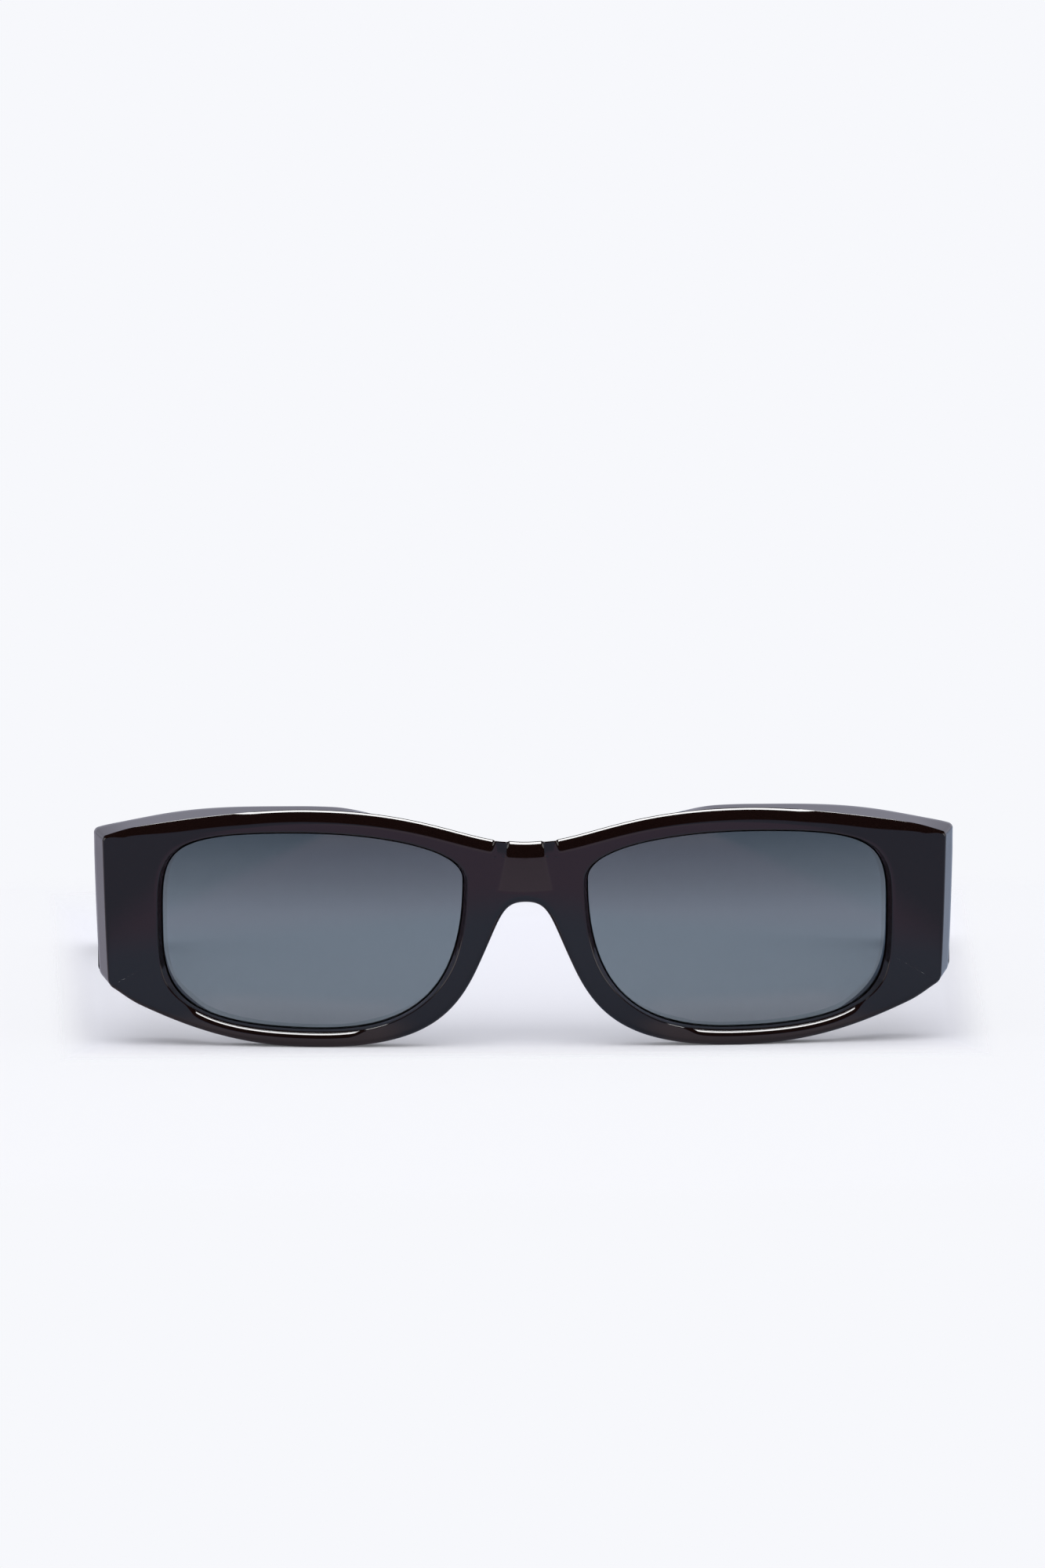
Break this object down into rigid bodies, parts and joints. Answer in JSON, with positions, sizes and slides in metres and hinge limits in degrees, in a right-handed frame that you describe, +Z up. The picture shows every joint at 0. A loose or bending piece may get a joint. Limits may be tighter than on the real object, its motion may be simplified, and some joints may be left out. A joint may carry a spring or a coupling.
{
  "type": "sunglasses",
  "caption": "Folding sunglasses with a thick dark acetate front, low oblong smoke lenses, deep end pieces, barrel hinges and tapering temples.",
  "frame": {"origin": "on the table under the sunglasses, midway across their width and along their depth", "axes": "the lenses look along -Y, the temples run back along +Y, +Z is up, the wearer's left is at +X"},
  "size_m": [0.1612, 0.164, 0.0408],
  "materials": {
    "acetate": "polished near-black cellulose acetate with a faint warm brown tint",
    "pad_acetate": "polished near-black acetate, bonded on",
    "lens": "smoke grey tinted polymer lens, polished both sides",
    "hinge": "nickel silver, satin",
    "screw": "turned steel, satin",
    "core": "drawn nickel silver strip, hidden in the temple"
  },
  "bodies": {
    "front": {"front_frame": "acetate", "lens_left": "lens", "lens_right": "lens", "nose_pad_left": "pad_acetate", "nose_pad_right": "pad_acetate", "front_hinge_left": "hinge", "front_hinge_right": "hinge", "hinge_screw_left": "screw", "hinge_screw_right": "screw"},
    "temple_left": {"temple_left": "acetate", "temple_hinge_left": "hinge", "temple_core_left": "core"},
    "temple_right": {"temple_right": "acetate", "temple_hinge_right": "hinge", "temple_core_right": "core"}
  },
  "joints": [
    {"name": "fold_left", "type": "hinge", "parent": "front", "child": "temple_left", "pos_m": [0.0664, -0.06258, 0.02382], "axis": [0, -0.0698, 0.9976], "range_deg": [0, 95]},
    {"name": "fold_right", "type": "hinge", "parent": "front", "child": "temple_right", "pos_m": [-0.0664, -0.06258, 0.02382], "axis": [0, 0.0698, -0.9976], "range_deg": [0, 85]}
  ]
}
